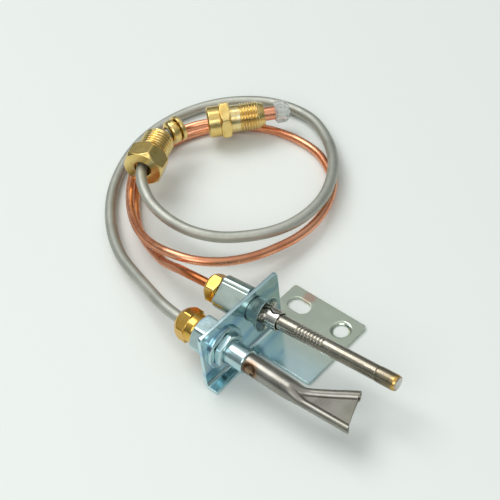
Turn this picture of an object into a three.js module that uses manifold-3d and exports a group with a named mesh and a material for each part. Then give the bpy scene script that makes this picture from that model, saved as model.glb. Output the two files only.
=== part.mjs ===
// Pilot assembly of a gas water heater: a steel bracket that holds a thermocouple and a small
// pilot burner, with the thermocouple's copper lead and the burner's aluminium gas tube coiled
// beside it. Millimetres, +Z up. The origin is on the bracket's underside, midway between its
// slot and its screw hole. +X is the direction in which the burner fires.
import * as THREE from "three";
import { mergeVertices } from "three/addons/utils/BufferGeometryUtils.js";
import Module from "manifold-3d";

const wasm = await Module();
wasm.setup();

// ---- Driving dimensions ----
const GAP = 0.3; // clearance between pieces that touch
const RIGHT_ANGLE = Math.PI / 2;
const ROUND = 24; // sides of a turned piece
const BORE_SIDES = 14; // sides of a small hidden hole

const SHEET = 1; // thickness of the bracket's steel
const PLATE = { rear: -8.7, left: -34.5, right: -6, top: 18.5, corner: 1.2, bend: 1 };
const STRIP_FRONT = -4.5; // front edge of the strip in front of the plate
const TONGUE = { rear: -12.5, front: 11.5, left: -18.3, right: 5.1, corner: 0.8, relief: 0.4 };
const SLOT = { x: -6.9, y: 0, length: 6.8, width: 4.5 };
const SCREW_HOLE = { x: 6.9, y: 0.2, radius: 2.05, rim: 2.75, coined: 0.5 };

const BURNER_AXIS = { y: -27.3, z: 9.8 };
const BURNER = { hexRear: -14.9, hexFlats: 9.5, nose: 3.15, noseEnd: 0.7, chamber: 3.5, bore: 2.5 };
const BURNER_DISC = { radius: 5.9, thickness: 0.6 };
const BURNER_LOCKNUT = { flats: 8.4, thickness: 1.6, turn: 0.35 };
const INLET_NUT = { rear: -21.8, hexFront: -17.7, front: -15.2, end: -14.1, flats: 8.2, turn: 0.586 };
const HOOD = {
  tube: 2.6, wall: 0.5, // the round part's outer radius and its wall
  fork: 12.5, length: 17.65, aim: 22.3, // where it starts to fan out, for how far, and to where
  foldedBead: 1.3, bead: 1.45, web: 0.5, port: 0.85, feed: 0.6,
};

const PROBE_YAW = 4.1; // degrees by which the thermocouple points off the burner's direction
const PROBE = { y: -15.5, z: 13.4, radius: 1.95, bore: 1.35, tip: 2.05, rings: 9, ringPitch: 0.93 };
const HOLDER = { rear: -9.5, bore: 2.45, neck: 3.3, rim: 4.8, mouth: 4.6 };
const COLLAR = { flats: 7.2, length: 3.8, turn: 0.3 }; // the nut behind the holder

const GAS_TUBE = 3.175 / 2; // radius of the aluminium gas tube
const LEAD = 1.25; // radius of the copper lead

const OUTLET = {
  at: [-68.6, 5.1, 11.5], heading: 112.5,
  flats: 11.1, turn: 0.9, hex: 5.8, thread: 4.55, root: 4.05, ridges: 7, length: 13.8, bore: 3.5,
};
const TUBE_END = { at: [-72.8, 23.2, 11.5], heading: 80 };
const CONNECTOR = {
  at: [-70.8, 34, 7.7], heading: 49.6,
  flats: 10.3, turn: 0.37, collar: 4.65, neck: 4.03, thread: 4.365, root: 3.85, ridges: 7, bore: 2.75,
};

const GAS_TUBE_ROUTE = [
  [-12.7, -27.3, 9.8], [-18, -27.3, 9.8], [-24, -27.3, 9.8], [-30, -26.4, 9.2],
  [-37.5, -24.1, 7.6], [-45.5, -21.5, 5.8], [-54, -18.5, 4.4], [-61.5, -14.5, 3.4],
  [-69, -9, 2.6], [-75.5, -2.5, 2.1], [-80.5, 4.5, 1.8], [-84.5, 13, 1.7],
  [-86.5, 21.5, 1.7], [-86.5, 30, 1.7], [-84.5, 38.5, 1.7], [-80.5, 46, 1.8],
  [-74.5, 52, 2.1], [-67.5, 56.5, 2.1], [-59, 58.8, 2.1], [-51, 58.3, 2.3],
  [-44, 55.2, 2.8], [-37.2, 50.3, 3.8], [-31.5, 44.6, 5.1], [-27.1, 38.2, 6],
  [-24.2, 31.5, 6.4], [-23.2, 25, 6.6], [-23.8, 18.5, 6.7], [-26, 12.5, 6.9],
  [-30, 7, 7], [-36, 1.6, 7.2], [-43, -1.8, 7.8], [-50.5, -2.9, 8.6],
  [-58, -2, 9.7], [-63.6, 0.5, 10.6], [-67.5, 3.5, 11.1], [-70, 6.7, 11.4],
  [-71.9, 10.1, 11.5], [-73.1, 13.6, 11.5], [-73.6, 16.9, 11.5], [-73.4, 20.2, 11.5],
  [-72.7, 23.8, 11.5],
];
const LEAD_ROUTE = [
  [-15.6, -16, 13.4], [-20, -16.35, 13.4], [-24.4, -16.6, 13.3], [-29, -16.5, 12.5],
  [-34, -15.6, 10.4],
  [-38.5, -14.5, 7.9], [-43, -13.4, 5.8], [-48.7, -11.5, 4.3], [-55, -9.1, 3],
  [-61, -5.9, 2.1], [-67, -1.2, 1.5], [-72.5, 4.7, 1.3], [-76.5, 11.5, 1.3],
  [-78.8, 19, 1.3], [-78.5, 26.5, 1.3], [-76, 33.5, 1.3], [-71.5, 40, 1.3],
  [-65, 45.2, 1.3], [-57, 48.5, 1.3], [-49, 49.5, 1.3], [-41, 48.5, 1.4],
  [-34, 45, 1.7], [-28, 40, 2.2], [-24, 33, 2.8], [-21.6, 25.5, 3.5],
  [-21, 17, 4.4], [-22.2, 9, 5.6], [-24.4, 1, 7.2], [-28.2, -6.2, 9.1],
  [-33.2, -10.8, 10.4], [-39.6, -12.9, 10.6], [-47.3, -12.6, 9], [-54.5, -10.4, 7.1],
  [-61, -7, 5.8], [-67, -2.6, 4.9], [-72.5, 2.8, 4.4], [-76.6, 8.4, 4.2],
  [-79, 14, 4.3], [-79.4, 19.5, 4.6], [-78.4, 24, 5.2], [-76.3, 27.7, 6.1],
  [-73.6, 30.8, 7.2], [-70.8, 34, 7.7], [-66, 39.6, 7.7], [-61.6, 44.8, 7.7],
];
const GAS_TUBE_STEPS = 40;
const LEAD_STEPS = 42;

// ---- Materials ----
const finish = (color, roughness, metalness) =>
  new THREE.MeshStandardMaterial({ color, roughness, metalness });
const zinc = () => finish(0x8fa5a8, 0.3, 1);
const brass = () => finish(0xc9a347, 0.28, 1);
const copper = () => finish(0xcf9468, 0.3, 1);
const aluminium = () => finish(0xb9bbad, 0.38, 1);
const stainless = () => finish(0x9a978c, 0.3, 1);
const heatTinted = () => finish(0x9c7a4a, 0.35, 1);
const ceramic = () => finish(0xe6e1d2, 0.85, 0);
const fibre = () => finish(0xb4443a, 0.8, 0);
const clearPlastic = () => {
  const plastic = finish(0xe9efe9, 0.15, 0);
  plastic.transparent = true;
  plastic.opacity = 0.4;
  return plastic;
};

// ---- Solids ----
function solid(geometry) {
  const bare = geometry.clone();
  bare.deleteAttribute("normal");
  bare.deleteAttribute("uv");
  const merged = mergeVertices(bare, 1e-4);
  const vertProperties = merged.attributes.position.array;
  const triVerts = new Uint32Array(merged.index.array);
  return new wasm.Manifold(new wasm.Mesh({ numProp: 3, vertProperties, triVerts }));
}

// A named mesh of one solid, with flat facets.
function piece(name, body, material) {
  const made = body.getMesh();
  const shared = new THREE.BufferGeometry();
  shared.setAttribute("position", new THREE.BufferAttribute(made.vertProperties.slice(), 3));
  shared.setIndex(new THREE.BufferAttribute(made.triVerts.slice(), 1));
  const geometry = shared.toNonIndexed();
  geometry.computeVertexNormals();
  const mesh = new THREE.Mesh(geometry, material);
  mesh.name = name;
  return mesh;
}

// A body turned about the X axis, from [x, radius] points. A profile that starts and ends on
// the axis is solid, and any other is closed into a ring.
function turned(profile, sides = ROUND) {
  const points = profile.map(([x, radius]) => new THREE.Vector2(radius, x));
  const [first, last] = [points[0], points[points.length - 1]];
  if (first.x > 0 || last.x > 0) points.push(first.clone());
  return solid(new THREE.LatheGeometry(points, sides).rotateZ(-RIGHT_ANGLE));
}

const bar = (from, to, radius, sides = ROUND) =>
  turned([[from, 0], [from, radius], [to, radius], [to, 0]], sides);

// A bar with the same chamfer on both ends.
const chamferedBar = (from, to, radius, chamfer) =>
  turned([
    [from, 0], [from, radius - chamfer], [from + chamfer, radius],
    [to - chamfer, radius], [to, radius - chamfer], [to, 0],
  ]);

// Places local x, y and z along three world directions.
function along(geometry, x, y, z) {
  const basis = new THREE.Matrix4().makeBasis(
    new THREE.Vector3(...x),
    new THREE.Vector3(...y),
    new THREE.Vector3(...z),
  );
  return geometry.applyMatrix4(basis);
}

const prism = (shape, depth, curveSegments = 6) =>
  new THREE.ExtrudeGeometry(shape, { depth, bevelEnabled: false, curveSegments });

// An upright prism of a plan outline, from z = 0.
const planPrism = (shape, height) => solid(prism(shape, height));

// A prism along X of an outline drawn in y and z.
const crossPrism = (shape, from, to) =>
  solid(along(prism(shape, to - from), [0, 1, 0], [0, 0, 1], [1, 0, 0]).translate(from, 0, 0));

// A hexagonal bar along X with its corners turned off at both ends.
function hexBar(from, to, flats, turn, cornerCut) {
  const corner = flats / Math.sqrt(3);
  const outline = new THREE.Shape(
    Array.from({ length: 6 }, (_, i) => {
      const angle = turn + (i * Math.PI) / 3;
      return new THREE.Vector2(corner * Math.cos(angle), corner * Math.sin(angle));
    }),
  );
  const trim = turned([
    [from, 0], [from, flats / 2 - 0.1], [from + cornerCut, corner + 0.1],
    [to - cornerCut, corner + 0.1], [to, flats / 2 - 0.1], [to, 0],
  ]);
  return crossPrism(outline, from, to).intersect(trim);
}

// A rectangle with rounded corners as a shape.
function roundedRectangle(left, bottom, right, top, radius) {
  const shape = new THREE.Shape();
  shape.moveTo(left + radius, bottom);
  shape.lineTo(right - radius, bottom);
  shape.absarc(right - radius, bottom + radius, radius, -RIGHT_ANGLE, 0, false);
  shape.lineTo(right, top - radius);
  shape.absarc(right - radius, top - radius, radius, 0, RIGHT_ANGLE, false);
  shape.lineTo(left + radius, top);
  shape.absarc(left + radius, top - radius, radius, RIGHT_ANGLE, Math.PI, false);
  shape.lineTo(left, bottom + radius);
  shape.absarc(left + radius, bottom + radius, radius, Math.PI, 3 * RIGHT_ANGLE, false);
  return shape;
}

// A skin through sections that have the same number of points, closed by a fan at each end.
function loft(sections) {
  const count = sections[0].length;
  const positions = sections.flat().flatMap((point) => point.toArray());
  const index = [];
  for (let s = 0; s + 1 < sections.length; s += 1) {
    for (let i = 0; i < count; i += 1) {
      const [a, b] = [s * count + i, s * count + ((i + 1) % count)];
      index.push(a, b, a + count, b, b + count, a + count);
    }
  }
  [sections[0], sections[sections.length - 1]].forEach((section, end) => {
    const centre = new THREE.Vector3();
    section.forEach((point) => centre.addScaledVector(point, 1 / count));
    const hub = positions.length / 3;
    positions.push(...centre.toArray());
    const first = end ? (sections.length - 1) * count : 0;
    for (let i = 0; i < count; i += 1) {
      const [a, b] = [first + i, first + ((i + 1) % count)];
      index.push(...(end ? [a, b, hub] : [b, a, hub]));
    }
  });
  const geometry = new THREE.BufferGeometry();
  geometry.setAttribute("position", new THREE.Float32BufferAttribute(positions, 3));
  geometry.setIndex(index);
  return solid(geometry);
}

// A round rod between two points.
function rod(from, to, radius, sides = BORE_SIDES) {
  const [start, end] = [new THREE.Vector3(...from), new THREE.Vector3(...to)];
  const way = end.clone().sub(start);
  const geometry = new THREE.CylinderGeometry(radius, radius, way.length(), sides);
  const turn = new THREE.Quaternion().setFromUnitVectors(
    new THREE.Vector3(0, 1, 0),
    way.clone().normalize(),
  );
  geometry.applyQuaternion(turn);
  const middle = start.add(end).multiplyScalar(0.5);
  return solid(geometry.translate(middle.x, middle.y, middle.z));
}

// ---- Bracket ----
function bracket() {
  const plateFront = PLATE.rear + SHEET;
  const bendX = plateFront + PLATE.bend;
  const bendZ = SHEET + PLATE.bend;
  const section = new THREE.Shape();
  section.moveTo(STRIP_FRONT, 0);
  section.lineTo(STRIP_FRONT, SHEET);
  section.lineTo(bendX, SHEET);
  section.absarc(bendX, bendZ, PLATE.bend, -RIGHT_ANGLE, -Math.PI, true);
  section.lineTo(plateFront, PLATE.top);
  section.lineTo(PLATE.rear, PLATE.top);
  section.lineTo(PLATE.rear, bendZ);
  section.absarc(bendX, bendZ, PLATE.bend + SHEET, Math.PI, 3 * RIGHT_ANGLE, false);
  const width = PLATE.right - PLATE.left;
  const folded = solid(
    along(prism(section, width), [1, 0, 0], [0, 0, 1], [0, -1, 0]).translate(0, PLATE.right, 0),
  );
  const outline = roundedRectangle(PLATE.left, -5, PLATE.right, PLATE.top, PLATE.corner);
  const plate = folded.intersect(crossPrism(outline, PLATE.rear - 1, STRIP_FRONT + 1));

  const tongue = planPrism(
    roundedRectangle(TONGUE.rear, TONGUE.left, TONGUE.front, TONGUE.right, TONGUE.corner),
    SHEET,
  );
  const behindPlate = new THREE.Shape();
  behindPlate.moveTo(TONGUE.rear - 1, TONGUE.left - 1);
  behindPlate.lineTo(bendX, TONGUE.left - 1);
  behindPlate.lineTo(bendX, PLATE.right + TONGUE.relief);
  behindPlate.lineTo(TONGUE.rear - 1, PLATE.right + TONGUE.relief);
  const cleared = planPrism(behindPlate, 3 * SHEET);
  const base = tongue.subtract(cleared.translate([0, 0, -SHEET]));

  const slotReach = SLOT.length / 2;
  const slot = roundedRectangle(
    SLOT.x - slotReach, SLOT.y - SLOT.width / 2, SLOT.x + slotReach, SLOT.y + SLOT.width / 2,
    SLOT.width / 2 - 0.01,
  );
  const screwHole = rod([SCREW_HOLE.x, SCREW_HOLE.y, -1], [SCREW_HOLE.x, SCREW_HOLE.y, 2],
    SCREW_HOLE.radius, ROUND);
  const coin = new THREE.CylinderGeometry(
    SCREW_HOLE.rim, SCREW_HOLE.radius, SCREW_HOLE.coined, ROUND,
  ).rotateX(RIGHT_ANGLE).translate(SCREW_HOLE.x, SCREW_HOLE.y, SHEET - SCREW_HOLE.coined / 2);
  const through = (y, z, radius) =>
    rod([PLATE.rear - 1, y, z], [PLATE.rear + 2, y, z], radius, ROUND);
  return plate
    .add(base)
    .subtract(planPrism(slot, 3 * SHEET).translate([0, 0, -SHEET]))
    .subtract(screwHole)
    .subtract(solid(coin))
    .subtract(through(BURNER_AXIS.y, BURNER_AXIS.z, BURNER.nose + GAP))
    .subtract(through(PROBE.y, PROBE.z, HOLDER.neck + 0.4));
}

// ---- Pilot burner. The x values are the assembly's own. ----
const HEX_FRONT = PLATE.rear - 0.35;
const CHAMBER_END = -10.3;
const NECK = { rear: -3, radius: 2.2, bore: 1.7, shoulder: 1 }; // the hood's plug in the nose

function burnerBody() {
  const hex = hexBar(BURNER.hexRear, HEX_FRONT, BURNER.hexFlats, 0, 0.6);
  const nose = turned([
    [HEX_FRONT - 1, 0], [HEX_FRONT - 1, BURNER.nose], [BURNER.noseEnd - 0.2, BURNER.nose],
    [BURNER.noseEnd, BURNER.nose - 0.15], [BURNER.noseEnd, 0],
  ]);
  return hex
    .add(nose)
    .subtract(bar(BURNER.hexRear - 1, CHAMBER_END, BURNER.chamber))
    .subtract(bar(CHAMBER_END - 1, BURNER.noseEnd + 1, BURNER.bore));
}

function burnerDisc() {
  const { radius, thickness } = BURNER_DISC;
  const rear = PLATE.rear + SHEET + GAP;
  const front = rear + thickness;
  const hole = BURNER.nose + GAP;
  return turned([
    [rear, hole], [rear, radius], [front - 0.25, radius], [front, radius - 0.3], [front, hole],
  ]);
}

function burnerLocknut() {
  const { flats, thickness, turn } = BURNER_LOCKNUT;
  const rear = PLATE.rear + SHEET + 2 * GAP + BURNER_DISC.thickness;
  const front = rear + thickness;
  const hole = bar(rear - 1, front + 1, BURNER.nose + GAP);
  return hexBar(rear, front, flats, turn, 0.35).subtract(hole);
}

function gasOrifice() {
  const [rear, tip] = [-12.3, -8.9];
  return turned([
    [rear, 0.4], [rear, 3.2], [CHAMBER_END - GAP, 3.2], [CHAMBER_END - GAP, 2],
    [tip, 1.3], [tip, 0.4],
  ]);
}

const inletFerrule = () =>
  turned([
    [-13.8, GAS_TUBE + GAP], [-13.8, 2.8], [-13.5, 3.15], [-13.2, 3.15], [-12.6, 2.5],
    [-12.6, GAS_TUBE + GAP],
  ]);

// A compression nut: a domed hexagon, a plain turned front and a spigot that bears on the ferrule.
function inletNut() {
  const { rear, hexFront, front, end, flats, turn } = INLET_NUT;
  const dome = turned([
    [rear, 0], [rear, 3.1], [rear + 0.5, 3.75], [rear + 1.3, 4.25], [rear + 2, 5],
    [hexFront + 1, 5], [hexFront + 1, 0],
  ]);
  const turnedFront = turned([
    [hexFront - 1, 0], [hexFront - 1, 4.1], [hexFront, 4.1], [front - 0.4, 3.95], [front, 3.7],
    [front, 3.15], [end, 3.15], [end, 0],
  ]);
  return hexBar(rear, hexFront, flats, turn, 0.4)
    .intersect(dome)
    .add(turnedFront)
    .subtract(bar(rear - 1, end + 1, GAS_TUBE + GAP + 0.1));
}

// One cross-section of the hood: two round beads with a web between them, which at the tube's
// end merge into a circle. It stands across the heading, centred on x and y.
function hoodSection({ x, y, heading, spread, bead, web }) {
  const BEAD_POINTS = 9;
  const out = new THREE.Vector3(-Math.sin(heading), Math.cos(heading), 0);
  const wrap = Math.PI - Math.asin(Math.min(1, web / bead));
  const points = [];
  for (const side of [1, -1]) {
    for (let i = 0; i < BEAD_POINTS; i += 1) {
      const angle = wrap * ((2 * i) / (BEAD_POINTS - 1) - 1);
      const across = side * (spread / 2 + bead * Math.cos(angle));
      const up = side * bead * Math.sin(angle);
      points.push(new THREE.Vector3(x, y, BURNER_AXIS.z).addScaledVector(out, across).setZ(
        BURNER_AXIS.z + up,
      ));
    }
  }
  return points;
}

// The hood's section at t, from 0 at the end of the round tube to 1 at the mouth. The lower bead
// runs almost straight on from the tube, and the upper one fans out from it.
function hoodStation(t) {
  const mix = THREE.MathUtils.lerp;
  const flat = THREE.MathUtils.smoothstep(t, 0.08, 0.38);
  const heading = THREE.MathUtils.degToRad(HOOD.aim) * Math.min(1, 1.2 * t);
  const bead = mix(mix(HOOD.tube, HOOD.foldedBead, flat), HOOD.bead, t);
  const tubeEdge = BURNER_AXIS.y + HOOD.tube;
  const fanned = 0.66 * Math.max(0, 15.8 * t - 4.1);
  const upper = tubeEdge + fanned - bead * (1 + 0.19 * flat);
  const lower = BURNER_AXIS.y - HOOD.tube + 1.05 * t + bead;
  return {
    x: HOOD.fork + HOOD.length * t,
    y: (lower + upper) / 2,
    heading,
    spread: Math.max(0.02, (upper - lower) / Math.cos(heading)),
    bead,
    web: mix(HOOD.tube, HOOD.web, flat),
  };
}

// The middle of one bead of a section.
function beadCentre({ x, y, heading, spread }, side) {
  const reach = (side * spread) / 2;
  return [x - reach * Math.sin(heading), y + reach * Math.cos(heading)];
}

function fishtailHood() {
  const STATIONS = 10;
  const { y, z } = BURNER_AXIS;
  const rear = { x: NECK.shoulder, y, heading: 0, spread: 0.02, bead: HOOD.tube, web: HOOD.tube };
  const fan = Array.from({ length: STATIONS + 1 }, (_, i) => hoodStation(i / STATIONS));
  const onAxis = (from, to, radius) => bar(from, to, radius).translate([0, y, z]);
  let hood = loft([rear, ...fan].map(hoodSection))
    .add(onAxis(NECK.rear, NECK.shoulder + 1, NECK.radius))
    .subtract(onAxis(NECK.rear - 1, NECK.shoulder + 1, NECK.bore))
    .subtract(onAxis(NECK.shoulder, HOOD.fork, HOOD.tube - HOOD.wall));
  for (const side of [-1, 1]) {
    const root = beadCentre(hoodStation(0.38), side);
    const mouth = beadCentre(hoodStation(1), side);
    const past = mouth.map((value, i) => value + (value - root[i]) * 0.08);
    hood = hood
      .subtract(rod([...root, z], [...past, z], HOOD.port))
      .subtract(rod([HOOD.fork - 1, y, z], [...root, z], HOOD.feed));
  }
  return hood;
}

// ---- Thermocouple. The x values are measured along its own axis from the plate's middle. ----
const TIP = { rear: 37.6, end: 43, recess: 42.4, recessRadius: 1.75 };
const RINGS_START = 14.2;

// The holder's outline behind the plate: a flattened tube with a broad flat on its upper side.
function sleeveSection(x, scale) {
  const corners = [
    [4.76, 1.68], [3.53, 3.53], [-3.53, 3.7], [-4.54, 2.24], [-4.76, -0.45], [-3.7, -3.36],
    [3.36, -3.7], [4.59, -1.79],
  ];
  const flatTilt = THREE.MathUtils.degToRad(34);
  return corners.map(([wide, thick]) => {
    const [w, t] = [wide * scale, thick * scale];
    return new THREE.Vector3(
      x,
      w * Math.cos(flatTilt) - t * Math.sin(flatTilt),
      w * Math.sin(flatTilt) + t * Math.cos(flatTilt),
    );
  });
}

function thermocoupleHolder() {
  const front = -1.05;
  const sleeve = loft([
    sleeveSection(HOLDER.rear, 0.9),
    sleeveSection(HOLDER.rear + 0.4, 0.95),
    sleeveSection(front, 1),
  ]);
  const bell = turned([
    [front - 1, HOLDER.bore], [front - 1, HOLDER.neck], [0.9, HOLDER.neck], [1.8, 3.5],
    [2.8, 3.85], [3.7, 4.3], [HOLDER.mouth, HOLDER.rim], [HOLDER.mouth, HOLDER.rim - 0.3],
    [3.7, 4], [2.7, 3.45], [1.6, HOLDER.bore],
  ]);
  return sleeve.subtract(bar(HOLDER.rear - 1, 0, HOLDER.bore)).add(bell);
}

function thermocoupleNut() {
  const { flats, length, turn } = COLLAR;
  const front = HOLDER.rear - GAP;
  const rear = front - length;
  const spigotEnd = HOLDER.rear + 1.2;
  const dome = turned([
    [rear, 0], [rear, 2.5], [rear + 0.25, 3.1], [rear + 0.9, 3.6], [rear + 1.4, 3.7],
    [rear + 1.6, 2], [spigotEnd, 2.05], [spigotEnd, 0],
  ]);
  return hexBar(rear + 0.9, front, flats, turn, 0.5)
    .add(dome)
    .subtract(bar(rear - 1, spigotEnd + 1, LEAD + GAP + 0.05));
}

const junctionBush = () =>
  turned([
    [-8, LEAD + GAP], [-8, 2.1], [-6.1, 2.1], [-6.1, 0.85], [-7.2, 0.85],
    [-7.2, LEAD + GAP],
  ]);

// A stainless band round the probe, split along its top, with two lugs that spring outwards
// against the inside of the bell mouth.
function retainingClip() {
  const inner = PROBE.radius + GAP;
  const tips = inner + 1.7;
  const band = turned([[2.9, inner], [2.9, inner + 0.35], [8.6, inner + 0.35], [8.6, inner]]);
  const split = crossPrism(roundedRectangle(-0.3, 0, 0.3, 4, 0.05), 2, 10);
  const lug = new THREE.Shape();
  lug.moveTo(-0.9, inner + 0.1);
  lug.lineTo(0.9, inner + 0.1);
  lug.lineTo(0.7, tips);
  lug.lineTo(-0.7, tips);
  const lugs = [50, 160, 290].map((degrees) => {
    const upright = prism(lug, 0.7);
    const across = along(upright, [0, 1, 0], [0, 0, 1], [1, 0, 0]).translate(4.3, 0, 0);
    return solid(across.rotateX(THREE.MathUtils.degToRad(degrees)));
  });
  return lugs.reduce((body, one) => body.add(one), band).subtract(split);
}

function probeSheath() {
  const outline = [[-5.8, PROBE.bore], [-5.8, PROBE.radius]];
  const end = RINGS_START + PROBE.rings * PROBE.ringPitch;
  for (let i = 0; i < PROBE.rings; i += 1) {
    const start = RINGS_START + i * PROBE.ringPitch;
    outline.push([start, PROBE.radius], [start + 0.28, PROBE.radius - 0.16]);
    outline.push([start + 0.56, PROBE.radius]);
  }
  outline.push([end, PROBE.radius], [TIP.rear - GAP, PROBE.radius], [TIP.rear - GAP, PROBE.bore]);
  return turned(outline, 20);
}

function probeTip() {
  const cap = turned([
    [TIP.rear, 0], [TIP.rear, PROBE.tip], [TIP.end - 0.7, PROBE.tip],
    [TIP.end - 0.25, PROBE.tip - 0.1], [TIP.end, PROBE.tip - 0.22],
    [TIP.end, TIP.recessRadius], [TIP.recess, TIP.recessRadius], [TIP.recess, 0],
  ]);
  return cap.subtract(bar(TIP.rear - 1, 41.7, PROBE.bore));
}

const tipButton = () =>
  turned([
    [TIP.recess + GAP, 0], [TIP.recess + GAP, TIP.recessRadius - GAP],
    [TIP.end, TIP.recessRadius - GAP], [TIP.end + 0.15, 1.3], [TIP.end + 0.15, 0],
  ]);

const ceramicSleeve = () =>
  turned([[-5.4, 0.75], [-5.4, 1.05], [37, 1.05], [37, 0.75]], BORE_SIDES);

const innerConductor = () => bar(-7.1, 41.2, 0.45, 12);

// ---- Fittings on the gas tube's far end ----
// Ridges of a thread, as closed rings of the profile between two places on the axis.
function threadOutline(from, to, crest, root, count) {
  const pitch = (to - from) / count;
  const ridges = Array.from({ length: count }, (_, i) => [
    [from + i * pitch, root],
    [from + (i + 0.5) * pitch, crest],
  ]);
  return [...ridges.flat(), [to, root]];
}

function outletNut() {
  const { flats, turn, hex, thread, root, ridges, length, bore } = OUTLET;
  const threadStart = hex + 0.9;
  const threaded = turned([
    [hex - 0.6, 0], [hex - 0.6, root], [threadStart, root],
    ...threadOutline(threadStart, length - 0.4, thread, root, ridges),
    [length, root - 0.2], [length, 0],
  ]);
  return hexBar(0, hex, flats, turn, 1.4)
    .add(threaded)
    .subtract(bar(-1, 2, 2.5))
    .subtract(bar(1.3, length + 1, bore));
}

const outletFerrule = () =>
  turned([
    [-2.8, GAS_TUBE + 0.35], [-2.8, 3.2], [-2.5, 3.5], [-0.3, 3.5], [0, 3.2],
    [0, GAS_TUBE + 0.35],
  ]);

const outletRing = () =>
  turned([
    [0.3, GAS_TUBE + 0.35], [0.3, 3.6], [0.55, 3.85], [1.35, 3.85], [1.6, 3.6], [1.6, 2.6],
    [1, 2.6], [1, GAS_TUBE + 0.35],
  ]);

// ---- Connector at the lead's far end ----
const NUT_FRONT = 17;
const WASHER = { rear: 15.2, front: 15.7, bore: 0.9 };

function connectorNut() {
  const { flats, turn, collar, neck, thread, root, ridges, bore } = CONNECTOR;
  const threadStart = 9.65;
  const threadEnd = 15.35;
  const front = turned([
    [6.5, 0], [6.5, neck], [threadStart, neck],
    ...threadOutline(threadStart, threadEnd, thread, root, ridges),
    [NUT_FRONT, 3.2], [NUT_FRONT, 0],
  ]);
  return hexBar(3.9, 6.9, flats, turn, 0.7)
    .add(chamferedBar(0, 4.2, collar, 0.5))
    .add(front)
    .subtract(bar(-1, 10, LEAD + 0.5))
    .subtract(bar(9, NUT_FRONT + 1, bore));
}

const leadFerrule = () =>
  turned([
    [12, LEAD + GAP], [12, 2.1], [12.4, 2.4], [WASHER.rear - GAP, 2.4],
    [WASHER.rear - GAP, WASHER.bore], [14.5, WASHER.bore], [14.5, LEAD + GAP],
  ]);

const insulatingWasher = () =>
  turned([
    [WASHER.rear, WASHER.bore], [WASHER.rear, 2.3], [WASHER.front, 2.3],
    [WASHER.front, WASHER.bore],
  ]);

const contactTip = () =>
  turned([
    [WASHER.rear, 0], [WASHER.rear, WASHER.bore - GAP], [WASHER.front + GAP, WASHER.bore - GAP],
    [WASHER.front + GAP, 2.05], [20.9, 2.05], [21.2, 1.75], [21.2, 0],
  ]);

// A moulded cap with lengthwise ribs, open towards the nut.
function protectiveCap() {
  const RIBS = 16;
  const shell = turned([
    [20.2, 2.35], [20.2, 2.85], [24, 2.85], [24.5, 2.45], [24.8, 1.6], [24.8, 0], [24.2, 0],
    [24.2, 1.6], [23.9, 2.35],
  ]);
  let cap = shell;
  for (let i = 0; i < RIBS; i += 1) {
    const rib = new THREE.BoxGeometry(3.6, 0.45, 0.6).translate(22.2, 0, 3);
    cap = cap.add(solid(rib.rotateX((i * 2 * Math.PI) / RIBS)));
  }
  return cap;
}

// ---- The two coiled tubes ----
function coiled(route, radius, steps) {
  const SIDES = 8;
  const outline = new THREE.Shape(
    Array.from({ length: SIDES }, (_, i) => {
      const angle = ((i + 0.5) * 2 * Math.PI) / SIDES;
      return new THREE.Vector2(radius * Math.cos(angle), radius * Math.sin(angle));
    }),
  );
  const extrudePath = new THREE.CatmullRomCurve3(route.map((point) => new THREE.Vector3(...point)));
  return solid(new THREE.ExtrudeGeometry(outline, { steps, extrudePath, bevelEnabled: false }));
}

// ---- Assembly ----
// A group whose X axis is level and points at a heading, in degrees from the assembly's X.
function station(position, heading, members) {
  const group = new THREE.Group();
  group.position.set(...position);
  group.rotation.z = THREE.MathUtils.degToRad(heading);
  group.add(...members);
  return group;
}

function assembly() {
  const whole = new THREE.Group();
  whole.add(
    piece("bracket", bracket(), zinc()),
    piece("fishtail_hood", fishtailHood(), stainless()),
    piece("pilot_tube", coiled(GAS_TUBE_ROUTE, GAS_TUBE, GAS_TUBE_STEPS), aluminium()),
    piece("copper_lead", coiled(LEAD_ROUTE, LEAD, LEAD_STEPS), copper()),
    station([0, BURNER_AXIS.y, BURNER_AXIS.z], 0, [
      piece("burner_body", burnerBody(), zinc()),
      piece("burner_disc", burnerDisc(), zinc()),
      piece("burner_locknut", burnerLocknut(), zinc()),
      piece("gas_orifice", gasOrifice(), brass()),
      piece("inlet_ferrule", inletFerrule(), brass()),
      piece("inlet_nut", inletNut(), brass()),
    ]),
    station([PLATE.rear + SHEET / 2, PROBE.y, PROBE.z], PROBE_YAW, [
      piece("thermocouple_holder", thermocoupleHolder(), zinc()),
      piece("thermocouple_nut", thermocoupleNut(), brass()),
      piece("junction_bush", junctionBush(), brass()),
      piece("retaining_clip", retainingClip(), stainless()),
      piece("probe_sheath", probeSheath(), stainless()),
      piece("probe_tip", probeTip(), heatTinted()),
      piece("tip_button", tipButton(), stainless()),
      piece("ceramic_sleeve", ceramicSleeve(), ceramic()),
      piece("inner_conductor", innerConductor(), copper()),
    ]),
    station(OUTLET.at, OUTLET.heading, [piece("outlet_nut", outletNut(), brass())]),
    station(TUBE_END.at, TUBE_END.heading, [
      piece("outlet_ferrule", outletFerrule(), brass()),
      piece("outlet_ring", outletRing(), brass()),
    ]),
    station(CONNECTOR.at, CONNECTOR.heading, [
      piece("connector_nut", connectorNut(), brass()),
      piece("lead_ferrule", leadFerrule(), copper()),
      piece("insulating_washer", insulatingWasher(), fibre()),
      piece("contact_tip", contactTip(), copper()),
      piece("protective_cap", protectiveCap(), clearPlastic()),
    ]),
  );
  return whole;
}

export default assembly();
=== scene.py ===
"""Looks of a gas water heater's pilot assembly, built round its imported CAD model.

Shapes are written in millimetres, like the CAD, and turned into metres when their mesh is made.
"""

import math

import bmesh
import bpy
import numpy as np
from mathutils import Matrix, Quaternion, Vector
from mathutils.geometry import delaunay_2d_cdt


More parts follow.
